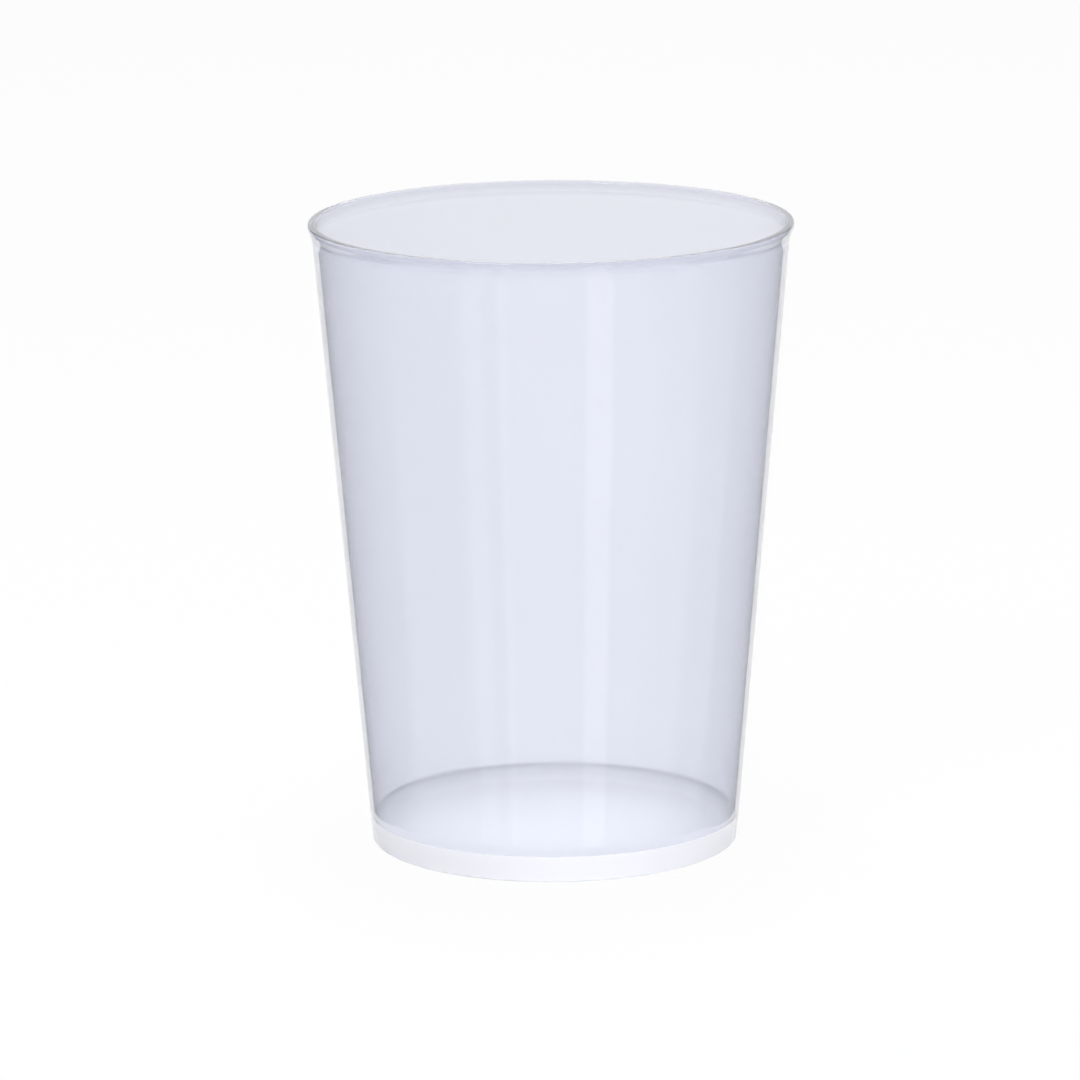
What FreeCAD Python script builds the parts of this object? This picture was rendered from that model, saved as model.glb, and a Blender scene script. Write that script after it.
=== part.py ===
"""Plastic tumbler cup, moulded in one piece from milky polypropylene.

A straight taper from a narrow base to a wide mouth, a thin even wall, a lip that thickens outwards, a flat floor
with a rounded inside corner, and a shallow recess underneath that leaves a flat foot ring to stand on.

Millimetres, +Z up. The origin is the centre of the foot ring's resting plane, and the mouth opens upwards.
"""

import FreeCAD, Part

import math
import os

# Overall form
HEIGHT = 117.4  # resting plane to the top of the lip
LIP_DIAMETER = 90.0  # widest place of the lip
BASE_DIAMETER = 68.6  # outer wall carried straight down to the resting plane
WALL = 0.95  # side wall, square to its surface

# Lip, thickened on the outside only, so that the inside runs out smooth
LIP_REACH = 0.55  # how far the lip stands out from the wall's own line
LIP_EDGE_HEIGHT = 0.80  # the lip's upright edge band, from the corner under it to the top
LIP_TAPER_HEIGHT = 2.10  # height over which the wall swells out into the lip
LIP_OUTER_ROUND = 0.40
LIP_INNER_ROUND = 0.45
LIP_UNDER_ROUND = 1.20  # the corner under the edge band
LIP_BLEND_ROUND = 6.0  # where the wall starts to swell

# Floor and foot
FLOOR = 1.30  # thickness of the floor
RECESS_DEPTH = 1.00  # floor's underside above the resting plane
FLOOR_CORNER_ROUND = 2.40  # inside, floor to wall
FOOT_WIDTH = 2.30  # foot ring, between the outer wall's line and the recess, at the resting plane
FOOT_OUTER_ROUND = 0.55
FOOT_INNER_ROUND = 0.35
RECESS_DRAFT = 0.30  # the recess narrows by this much from its mouth to its roof
RECESS_CORNER_ROUND = 0.50

# Mark left where the plastic was fed in, at the centre of the recess
GATE_WELL_DIAMETER = 7.0
GATE_WELL_DEPTH = 0.35
GATE_STUB_DIAMETER = 1.8
GATE_STUB_HEIGHT = 0.30
GATE_ROUND = 0.12

BASE_RADIUS = BASE_DIAMETER / 2
LIP_RADIUS = LIP_DIAMETER / 2
FLOOR_TOP = RECESS_DEPTH + FLOOR
MOUTH_WALL_RADIUS = LIP_RADIUS - LIP_REACH
TAPER = (MOUTH_WALL_RADIUS - BASE_RADIUS) / HEIGHT
WALL_ACROSS = WALL * math.hypot(1, TAPER)  # the wall measured level instead of square to its surface


def outer_radius(height):
    """Radius of the outer wall's line at a height."""
    return BASE_RADIUS + TAPER * height


def inner_radius(height):
    """Radius of the inner wall's line at a height."""
    return outer_radius(height) - WALL_ACROSS


def section_corners():
    """Corners of half the cup's section as (radius, height, rounding), from the axis underneath to the axis inside."""
    well_roof = RECESS_DEPTH + GATE_WELL_DEPTH
    stub_end = well_roof - GATE_STUB_HEIGHT
    stub_radius = GATE_STUB_DIAMETER / 2
    well_radius = GATE_WELL_DIAMETER / 2
    foot_inner_radius = BASE_RADIUS - FOOT_WIDTH
    lip_widest = HEIGHT - LIP_EDGE_HEIGHT
    lip_start = lip_widest - LIP_TAPER_HEIGHT
    return [
        (0.0, stub_end, 0.0),
        (stub_radius, stub_end, GATE_ROUND),
        (stub_radius, well_roof, GATE_ROUND),
        (well_radius, well_roof, GATE_ROUND),
        (well_radius, RECESS_DEPTH, GATE_ROUND),
        (foot_inner_radius - RECESS_DRAFT, RECESS_DEPTH, RECESS_CORNER_ROUND),
        (foot_inner_radius, 0.0, FOOT_INNER_ROUND),
        (outer_radius(0.0), 0.0, FOOT_OUTER_ROUND),
        (outer_radius(lip_start), lip_start, LIP_BLEND_ROUND),
        (LIP_RADIUS, lip_widest, LIP_UNDER_ROUND),
        (LIP_RADIUS, HEIGHT, LIP_OUTER_ROUND),
        (inner_radius(HEIGHT), HEIGHT, LIP_INNER_ROUND),
        (inner_radius(FLOOR_TOP), FLOOR_TOP, FLOOR_CORNER_ROUND),
        (0.0, FLOOR_TOP, 0.0),
    ]


def vector(radius, height):
    return FreeCAD.Vector(radius, 0, height)


def rounded_edges(corners):
    """Straight runs joined by tangent arcs, one at each corner with a rounding above zero."""
    points = [vector(radius, height) for radius, height, _ in corners]
    edges = []
    run_start = points[0]
    for before, here, after, corner in zip(points, points[1:], points[2:], corners[1:]):
        back = (before - here).normalize()
        ahead = (after - here).normalize()
        half_angle = back.getAngle(ahead) / 2
        reach = corner[2] / math.tan(half_angle)
        arc_start = here + back * reach
        arc_end = here + ahead * reach
        middle_line = (back + ahead).normalize()
        arc_middle = here + middle_line * (corner[2] / math.sin(half_angle) - corner[2])
        edges.append(Part.LineSegment(run_start, arc_start).toShape())
        edges.append(Part.Arc(arc_start, arc_middle, arc_end).toShape())
        run_start = arc_end
    edges.append(Part.LineSegment(run_start, points[-1]).toShape())
    edges.append(Part.LineSegment(points[-1], points[0]).toShape())
    return edges


def tumbler():
    """The whole cup: its half section turned once round the Z axis."""
    section = Part.Face(Part.Wire(rounded_edges(section_corners())))
    return section.revolve(FreeCAD.Vector(0, 0, 0), FreeCAD.Vector(0, 0, 1), 360)


def main():
    os.makedirs("parts", exist_ok=True)
    cup = tumbler()
    cup.exportStep("parts/tumbler.step")
    print("tumbler volume", round(cup.Volume, 1), "mm3, closed", cup.isClosed(), "valid", cup.isValid())


main()
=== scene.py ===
"""Looks of the plastic tumbler cup: the moulded cup, the finish of its milky plastic, and a pale studio.

Lengths in the named values are millimetres, and MM turns them into the scene's metres.
"""

import math

import bmesh
import bpy
from mathutils import Matrix, Vector


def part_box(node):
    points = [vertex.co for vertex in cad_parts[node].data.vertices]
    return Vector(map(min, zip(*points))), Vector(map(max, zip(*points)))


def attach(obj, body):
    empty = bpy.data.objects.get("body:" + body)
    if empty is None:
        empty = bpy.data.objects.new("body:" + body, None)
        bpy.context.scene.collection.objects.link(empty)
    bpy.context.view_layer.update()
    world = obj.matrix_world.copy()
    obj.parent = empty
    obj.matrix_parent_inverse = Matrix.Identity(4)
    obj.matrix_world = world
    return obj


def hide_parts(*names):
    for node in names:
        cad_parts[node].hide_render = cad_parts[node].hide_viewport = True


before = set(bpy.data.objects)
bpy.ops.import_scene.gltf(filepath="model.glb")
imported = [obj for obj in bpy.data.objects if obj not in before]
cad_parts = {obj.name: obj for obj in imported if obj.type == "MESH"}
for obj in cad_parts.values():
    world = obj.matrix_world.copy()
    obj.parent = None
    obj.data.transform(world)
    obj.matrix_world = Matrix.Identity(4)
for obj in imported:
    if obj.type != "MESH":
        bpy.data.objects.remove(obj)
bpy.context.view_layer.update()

MM = 0.001
CUP = "tumbler"
CUP_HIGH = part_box(CUP)[1]

# The cup's sizes. Its height and the lip's width come from the frame.
HEIGHT = CUP_HIGH.z / MM
LIP_RADIUS = min(CUP_HIGH.x, CUP_HIGH.y) / MM
BASE_RADIUS = 34.3
WALL = 0.95
LIP_REACH = 0.55
LIP_EDGE_HEIGHT = 0.80
LIP_TAPER_HEIGHT = 2.10
LIP_OUTER_ROUND = 0.40
LIP_INNER_ROUND = 0.45
LIP_UNDER_ROUND = 1.20
LIP_BLEND_ROUND = 6.0
FLOOR = 1.30
RECESS_DEPTH = 1.00
FLOOR_CORNER_ROUND = 2.40
FOOT_WIDTH = 2.30
FOOT_OUTER_ROUND = 0.55
FOOT_INNER_ROUND = 0.35
RECESS_DRAFT = 0.30
RECESS_CORNER_ROUND = 0.50
GATE_WELL_RADIUS = 3.5
GATE_WELL_DEPTH = 0.35
GATE_STUB_RADIUS = 0.9
GATE_STUB_HEIGHT = 0.30
GATE_ROUND = 0.12
TAPER = (LIP_RADIUS - LIP_REACH - BASE_RADIUS) / HEIGHT
LIP_WIDEST = HEIGHT - LIP_EDGE_HEIGHT
LIP_START = LIP_WIDEST - LIP_TAPER_HEIGHT

# How finely the cup is divided
TURNS = 320  # quads round the axis
ARC_STEP = math.radians(9)  # turn of a rounded corner for each point
GUARD = 0.12  # a point this far along a straight run keeps its shading straight
LONGEST_RUN = 6.0

# Milky polypropylene
PLASTIC_IOR = 1.49  # polypropylene's own
WALL_TINT = "#F6F8FF"
WALL_CLEARNESS = 0.86  # the share of light that passes, the rest being the plastic's haze
LIP_PAINTED_SHADE_TINT = "#E6E8F2"  # painted shade: darker than the wall, standing in for the dark table that the lip mirrors
BASE_TINT = "#FAFBFF"
BASE_CLEARNESS = 0.08  # the sight line's long way through the base makes it nearly white
BASE_ZONE = 5.0  # height of the whiter base, which ends above the inside corner
GLOSS_ROUGHNESS = 0.07  # typical of a moulding from a polished tool
GLOSS_SPREAD = 0.02  # how far the roughness wanders either way
WAVE_SPACING = 14.0  # slow waves left by the plastic's flow and shrinkage
WAVE_DEPTH = 0.004
WAVE_DETAIL = 1.0
POLISH_SPACING = 0.9  # the tool's polish, finer in truth and drawn coarser so that it can show
POLISH_DEPTH = 0.00015
POLISH_DETAIL = 2.0

# The photograph's camera, from a fit to the cup's outline
CAMERA_DISTANCE = 1234.1
CAMERA_ELEVATION = math.radians(12.632)
CAMERA_ROLL = math.radians(-0.387)
CAMERA_LENS = 220.2
SENSOR_WIDTH = 36.0
AIM_HEIGHT = 58.0
FRAME_PIXELS = 1080
AIM_PIXEL = (552.89, 533.81)  # where the aim point lies in the frame
NEAREST_SEEN = 50.0
FARTHEST_SEEN = 50000.0

# The studio. A level of 1 is as bright as white paper.
WHITE = "#FFFFFF"
SKY_COLOUR = "#F3F5FF"
SKY_LEVEL = 0.18  # what the room gives to a dull surface
TABLE_SIZE = 6000.0
TABLE_COLOUR = "#F7F7FA"
SHADOW_SHARE = 0.05  # how much of the table's own shading shows, the rest being plain white
CARD_GAP = 1.0  # a card's height over the table
CARD_STEP = math.radians(4)  # how finely a round card is divided

# Soft boxes: azimuth from the camera's side towards the right, elevation, distance, width, height, how bright each
# makes a white surface that faces it, and whether gloss mirrors it
SOFT_BOXES = {
    "low_box": (0, 2.5, 1400, 900, 120, 0.28, False),
    "right_box": (60, 3, 1400, 700, 150, 0.32, False),
    "left_box": (-60, 3, 1400, 500, 150, 0.12, False),
    "top_box": (0, 85, 1200, 500, 500, 0.41, False),
    "back_top_box": (180, 76, 1200, 400, 400, 0.35, False),
    "key_box": (-34, 40, 1400, 420, 250, 0.20, True),
}

# The reflector on the table, which only gloss sees: (azimuth of the wall that mirrors it, level). White in front with
# a wide bright band at the right and two finer ones at the left, and dark at the sides, for the cup's darker edges.
REFLECTOR = [
    (-76, 0.0), (-58, 0.0), (-44, 0.7), (-22.7, 1.05), (-22.3, 1.45), (-17.2, 1.5), (-16.8, 1.1), (-13.2, 1.3),
    (-12.9, 1.75), (-11.3, 1.8), (-11.0, 1.5), (8.2, 1.5), (8.6, 2.3), (14.8, 2.3), (15.3, 1.4), (26, 1.2),
    (40, 0.6), (52, 0.0), (76, 0.0),
]
REFLECTOR_START = 6.0  # lowest height of the wall that mirrors it
REFLECTOR_REACH = 1.6  # its length, as a share of what the wall mirrors

# The room's darker parts, which only gloss sees: (radius, height) of the inner and the outer edge, from and to in
# azimuth, level
ROOM = {
    "far_table_left": ((620, CARD_GAP), (2600, CARD_GAP), -150, -50, 0.25),
    "far_table_right": ((620, CARD_GAP), (2600, CARD_GAP), 50, 150, 0.25),
    "dark_panel_left": ((1500, CARD_GAP), (1500, 1400), -155, -130, 0.0),
    "dark_panel_right": ((1500, CARD_GAP), (1500, 1400), 130, 155, 0.0),
}


def linear(hex_colour):
    """An sRGB hex value as the linear colour that a shader takes."""
    parts = [int(hex_colour[i:i + 2], 16) / 255 for i in (1, 3, 5)]
    return [c / 12.92 if c <= 0.04045 else ((c + 0.055) / 1.055) ** 2.4 for c in parts] + [1.0]


def add_node(tree, kind, links=(), **settings):
    """Adds a node, sets its properties or its inputs by name, and links inputs from (input, other node, output)."""
    node = tree.nodes.new(kind)
    for name, value in settings.items():
        if hasattr(node, name):
            setattr(node, name, value)
        else:
            node.inputs[name.replace("_", " ")].default_value = value
    for name, other, output in links:
        tree.links.new(other.outputs[output], node.inputs[name])
    return node


def section_corners():
    """Corners of half the cup's section as (radius, height, rounding), from the axis underneath to the axis inside."""
    wall_across = WALL * math.hypot(1, TAPER)
    floor_top = RECESS_DEPTH + FLOOR
    well_roof = RECESS_DEPTH + GATE_WELL_DEPTH
    stub_end = well_roof - GATE_STUB_HEIGHT
    foot_inner = BASE_RADIUS - FOOT_WIDTH
    return [
        (0.0, stub_end, 0.0),
        (GATE_STUB_RADIUS, stub_end, GATE_ROUND),
        (GATE_STUB_RADIUS, well_roof, GATE_ROUND),
        (GATE_WELL_RADIUS, well_roof, GATE_ROUND),
        (GATE_WELL_RADIUS, RECESS_DEPTH, GATE_ROUND),
        (foot_inner - RECESS_DRAFT, RECESS_DEPTH, RECESS_CORNER_ROUND),
        (foot_inner, 0.0, FOOT_INNER_ROUND),
        (BASE_RADIUS, 0.0, FOOT_OUTER_ROUND),
        (BASE_RADIUS + TAPER * BASE_ZONE, BASE_ZONE, 0.0),
        (BASE_RADIUS + TAPER * LIP_START, LIP_START, LIP_BLEND_ROUND),
        (LIP_RADIUS, LIP_WIDEST, LIP_UNDER_ROUND),
        (LIP_RADIUS, HEIGHT, LIP_OUTER_ROUND),
        (BASE_RADIUS + TAPER * HEIGHT - wall_across, HEIGHT, LIP_INNER_ROUND),
        (BASE_RADIUS + TAPER * floor_top - wall_across, floor_top, FLOOR_CORNER_ROUND),
        (0.0, floor_top, 0.0),
    ]


def arc_points(before, here, after, rounding):
    """Points of the arc that rounds a corner."""
    back = (before - here).normalized()
    ahead = (after - here).normalized()
    half_angle = back.angle(ahead) / 2
    centre = here + (back + ahead).normalized() * (rounding / math.sin(half_angle))
    start = here + back * (rounding / math.tan(half_angle)) - centre
    turn = math.pi - 2 * half_angle
    steps = max(3, math.ceil(turn / ARC_STEP))
    sign = 1 if back.cross(ahead) < 0 else -1
    return [centre + Matrix.Rotation(sign * turn * i / steps, 2) @ start for i in range(steps + 1)]


def run_points(start, end):
    """Points between the ends of a straight run: one near each end, and the long run divided evenly."""
    length = (end - start).length
    if length < 3 * GUARD:
        return []
    direction = (end - start) / length
    inner = length - 2 * GUARD
    count = max(1, math.ceil(inner / LONGEST_RUN))
    return [start + direction * (GUARD + inner * i / count) for i in range(count + 1)]


def section_points():
    """The whole half section, with every corner rounded and every run divided."""
    corners = [(Vector((r, z)), rounding) for r, z, rounding in section_corners()]
    points = [corners[0][0]]
    for (before, _), (here, rounding), (after, _) in zip(corners, corners[1:], corners[2:]):
        arc = arc_points(before, here, after, rounding) if rounding else [here]
        points += run_points(points[-1], arc[0]) + arc
    return points + run_points(points[-1], corners[-1][0]) + [corners[-1][0]]


def moulded_cup():
    """The cup as one closed mesh: its half section turned round the axis, with the base's faces in their own finish."""
    section = section_points()
    mesh = bmesh.new()
    below = mesh.verts.new((0, 0, section[0].y * MM))
    above = mesh.verts.new((0, 0, section[-1].y * MM))
    rings = []
    for point in section[1:-1]:
        ring = []
        for i in range(TURNS):
            angle = 2 * math.pi * i / TURNS
            ring.append(mesh.verts.new((point.x * MM * math.cos(angle), point.x * MM * math.sin(angle), point.y * MM)))
        rings.append(ring)
    for i in range(TURNS):
        j = (i + 1) % TURNS
        mesh.faces.new((below, rings[0][j], rings[0][i]))
        mesh.faces.new((above, rings[-1][i], rings[-1][j]))
        for lower, upper in zip(rings, rings[1:]):
            mesh.faces.new((lower[i], lower[j], upper[j], upper[i]))
    bmesh.ops.recalc_face_normals(mesh, faces=mesh.faces)
    for face in mesh.faces:
        face.smooth = True
        face.material_index = 1 if face.calc_center_median().z < BASE_ZONE * MM else 0
    data = bpy.data.meshes.new("moulded_cup")
    mesh.to_mesh(data)
    mesh.free()
    cup = bpy.data.objects.new("moulded_cup", data)
    bpy.context.scene.collection.objects.link(cup)
    return cup


def milky_polypropylene(name, clearness, tint, lip_shade_tint=None):
    """Natural polypropylene, moulded in a polished tool. The eye gets a faint bluish haze in the wall, soft-edged
    highlights that waver a little, and clear plastic's darker edges. A painted shade darkens the lip's colour over
    the height where the wall swells, standing in for the dark table that the lip mirrors.
    """
    material = bpy.data.materials.new(name)
    material.use_nodes = True
    tree = material.node_tree
    shader = tree.nodes["Principled BSDF"]
    shader.inputs["Base Color"].default_value = linear(tint)
    shader.inputs["IOR"].default_value = PLASTIC_IOR
    shader.inputs["Transmission Weight"].default_value = clearness
    place = add_node(tree, "ShaderNodeTexCoord")
    waves = add_node(tree, "ShaderNodeTexNoise", [("Vector", place, "Object")],
                     Scale=1 / (WAVE_SPACING * MM), Detail=WAVE_DETAIL)
    polish = add_node(tree, "ShaderNodeTexNoise", [("Vector", place, "Object")],
                      Scale=1 / (POLISH_SPACING * MM), Detail=POLISH_DETAIL)
    low, high = GLOSS_ROUGHNESS - GLOSS_SPREAD, GLOSS_ROUGHNESS + GLOSS_SPREAD
    gloss = add_node(tree, "ShaderNodeMapRange", [("Value", waves, "Fac")], To_Min=low, To_Max=high)
    tree.links.new(gloss.outputs["Result"], shader.inputs["Roughness"])
    wave_bump = add_node(tree, "ShaderNodeBump", [("Height", waves, "Fac")], Distance=WAVE_DEPTH * MM)
    polish_bump = add_node(tree, "ShaderNodeBump", [("Height", polish, "Fac"), ("Normal", wave_bump, "Normal")],
                           Distance=POLISH_DEPTH * MM)
    tree.links.new(polish_bump.outputs["Normal"], shader.inputs["Normal"])
    # painted shade: the lip's colour darkens over the height where the wall swells, standing in for the dark table it
    # mirrors
    if lip_shade_tint:
        height = add_node(tree, "ShaderNodeSeparateXYZ", [("Vector", place, "Object")])
        lip_shade_ramp = add_node(tree, "ShaderNodeMapRange", [("Value", height, "Z")],
                            From_Min=LIP_START * MM, From_Max=LIP_WIDEST * MM)
        blend = add_node(tree, "ShaderNodeMixRGB", [("Fac", lip_shade_ramp, "Result")],
                         Color1=linear(tint), Color2=linear(lip_shade_tint))
        tree.links.new(blend.outputs["Color"], shader.inputs["Base Color"])
    return material


def bare_material(name):
    """A material whose nodes are still to be added."""
    material = bpy.data.materials.new(name)
    material.use_nodes = True
    material.node_tree.nodes.clear()
    return material


def seen_directly(tree):
    """1 for what the camera, a reflection or a see-through surface looks at, and 0 for light on a dull surface."""
    path = add_node(tree, "ShaderNodeLightPath")
    either = add_node(tree, "ShaderNodeMath", [(0, path, "Is Camera Ray"), (1, path, "Is Glossy Ray")],
                      operation="MAXIMUM")
    return add_node(tree, "ShaderNodeMath", [(0, either, 0), (1, path, "Is Transmission Ray")], operation="MAXIMUM")


def white_room():
    """The world: white to look at, and dimmer where it lights the cup."""
    world = bpy.data.worlds.new("white_room")
    bpy.context.scene.world = world
    world.use_nodes = True
    tree = world.node_tree
    tree.nodes.clear()
    light = add_node(tree, "ShaderNodeBackground", Color=linear(SKY_COLOUR), Strength=SKY_LEVEL)
    look = add_node(tree, "ShaderNodeBackground", Color=linear(WHITE), Strength=1.0)
    mix = add_node(tree, "ShaderNodeMixShader", [(0, seen_directly(tree), 0), (1, light, 0), (2, look, 0)])
    add_node(tree, "ShaderNodeOutputWorld", [(0, mix, 0)])


def stage_mesh(name, corners, faces, material):
    """A sheet of the studio."""
    data = bpy.data.meshes.new(name)
    data.from_pydata([Vector(corner) * MM for corner in corners], [], faces)
    data.materials.append(material)
    sheet = bpy.data.objects.new(name, data)
    bpy.context.scene.collection.objects.link(sheet)
    return sheet


def white_table():
    """The table's finish: white to what looks at it, with some of its own shading, and clear from underneath."""
    material = bare_material("white_table")
    tree = material.node_tree
    share = add_node(tree, "ShaderNodeMath", [(0, seen_directly(tree), 0)], operation="MULTIPLY")
    share.inputs[1].default_value = 1 - SHADOW_SHARE
    dull = add_node(tree, "ShaderNodeBsdfDiffuse", Color=linear(TABLE_COLOUR))
    white = add_node(tree, "ShaderNodeEmission", Color=linear(WHITE), Strength=1.0)
    top = add_node(tree, "ShaderNodeMixShader", [(0, share, 0), (1, dull, 0), (2, white, 0)])
    underside = add_node(tree, "ShaderNodeBsdfTransparent")
    side = add_node(tree, "ShaderNodeNewGeometry")
    both = add_node(tree, "ShaderNodeMixShader", [(0, side, "Backfacing"), (1, top, 0), (2, underside, 0)])
    add_node(tree, "ShaderNodeOutputMaterial", [(0, both, 0)])
    return material


def pale_table():
    """The large pale table top that the cup stands on."""
    half = TABLE_SIZE / 2
    corners = [(-half, -half, 0), (half, -half, 0), (half, half, 0), (-half, half, 0)]
    stage_mesh("table", corners, [(0, 1, 2, 3)], white_table())


def lit_card():
    """The cards' finish: an even white light, as bright as each point's level."""
    material = bare_material("lit_card")
    level = add_node(material.node_tree, "ShaderNodeAttribute", attribute_name="level")
    lit = add_node(material.node_tree, "ShaderNodeEmission", [("Strength", level, "Fac")], Color=linear(WHITE))
    add_node(material.node_tree, "ShaderNodeOutputMaterial", [(0, lit, 0)])
    return material


def card(name, edges, levels, material):
    """A card that only gloss sees, as a strip of quads between pairs of corners, each pair at its level."""
    corners = [corner for edge in edges for corner in edge]
    faces = [(n, n + 2, n + 3, n + 1) for n in range(0, len(corners) - 2, 2)]
    sheet = stage_mesh(name, corners, faces, material)
    attribute = sheet.data.attributes.new("level", "FLOAT", "POINT")
    for i, level in enumerate(levels):
        attribute.data[2 * i].value = level
        attribute.data[2 * i + 1].value = level
    sheet.visible_camera = False
    sheet.visible_diffuse = False
    sheet.visible_shadow = False
    sheet.visible_transmission = False


def around(azimuth, radius, height):
    """A point round the cup. Azimuth 0 is at the camera's side and 90 degrees at the right."""
    return Vector((math.sin(azimuth) * radius, -math.cos(azimuth) * radius, height))


def room_part(name, inner, outer, start, end, level, material):
    """A darker part of the room, between two arcs."""
    steps = max(1, math.ceil(math.radians(end - start) / CARD_STEP))
    azimuths = [math.radians(start + (end - start) * i / steps) for i in range(steps + 1)]
    edges = [(around(azimuth, *inner), around(azimuth, *outer)) for azimuth in azimuths]
    card(name, edges, [level] * len(edges), material)


def mirrored_on_table(azimuth, height):
    """The place on the table that the outer wall mirrors to the camera, from a point of the wall."""
    normal = around(azimuth, 1, -TAPER).normalized()
    sight = Vector((0, math.cos(CAMERA_ELEVATION), -math.sin(CAMERA_ELEVATION)))
    mirrored = sight - 2 * sight.dot(normal) * normal
    start = around(azimuth, BASE_RADIUS + TAPER * height, height)
    return start + mirrored * ((CARD_GAP - height) / mirrored.z)


def reflector(material):
    """The reflector as a fan of straight-edged strips, with the levels blended from edge to edge."""
    edges = []
    for azimuth, _ in REFLECTOR:
        near = mirrored_on_table(math.radians(azimuth), REFLECTOR_START)
        far = mirrored_on_table(math.radians(azimuth), HEIGHT)
        edges.append((near, near + (far - near) * REFLECTOR_REACH))
    card("reflector", edges, [level for _, level in REFLECTOR], material)


def soft_box(name, azimuth, elevation, distance, width, height, brightness, mirrored):
    """A soft area lamp, aimed at the middle of the cup."""
    lamp = bpy.data.lights.new(name, "AREA")
    lamp.shape = "RECTANGLE"
    lamp.size = width * MM
    lamp.size_y = height * MM
    lamp.energy = brightness * (math.pi * distance * MM) ** 2
    holder = bpy.data.objects.new(name, lamp)
    bpy.context.scene.collection.objects.link(holder)
    level, up = math.cos(math.radians(elevation)), math.sin(math.radians(elevation))
    away = around(math.radians(azimuth), level, up)
    holder.location = Vector((0, 0, AIM_HEIGHT * MM)) + away * distance * MM
    holder.rotation_mode = "QUATERNION"
    holder.rotation_quaternion = away.to_track_quat("Z", "Y")
    holder.visible_camera = False
    holder.visible_glossy = mirrored
    holder.visible_transmission = False


def photographer():
    """The camera at the photograph's place, turn and framing."""
    camera = bpy.data.cameras.new("camera")
    camera.sensor_width = SENSOR_WIDTH
    camera.lens = CAMERA_LENS
    camera.shift_x = (FRAME_PIXELS / 2 - AIM_PIXEL[0]) / FRAME_PIXELS
    camera.shift_y = (AIM_PIXEL[1] - FRAME_PIXELS / 2) / FRAME_PIXELS
    camera.clip_start = NEAREST_SEEN * MM
    camera.clip_end = FARTHEST_SEEN * MM
    holder = bpy.data.objects.new("camera", camera)
    bpy.context.scene.collection.objects.link(holder)
    back = Vector((0, -math.cos(CAMERA_ELEVATION), math.sin(CAMERA_ELEVATION)))
    holder.location = Vector((0, 0, AIM_HEIGHT * MM)) + back * CAMERA_DISTANCE * MM
    holder.rotation_mode = "QUATERNION"
    level = (-back).to_track_quat("-Z", "Y")
    holder.rotation_quaternion = level @ Matrix.Rotation(CAMERA_ROLL, 4, "Z").to_quaternion()
    bpy.context.scene.camera = holder


bpy.context.scene.view_settings.view_transform = "Standard"

cup = moulded_cup()
cup.data.materials.append(milky_polypropylene("milky_polypropylene", WALL_CLEARNESS, WALL_TINT, LIP_PAINTED_SHADE_TINT))
cup.data.materials.append(milky_polypropylene("thick_milky_polypropylene", BASE_CLEARNESS, BASE_TINT))
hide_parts(CUP)
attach(cup, "root")

white_room()
pale_table()
card_finish = lit_card()
reflector(card_finish)
for name, values in ROOM.items():
    room_part(name, *values, card_finish)
for name, values in SOFT_BOXES.items():
    soft_box(name, *values)
photographer()
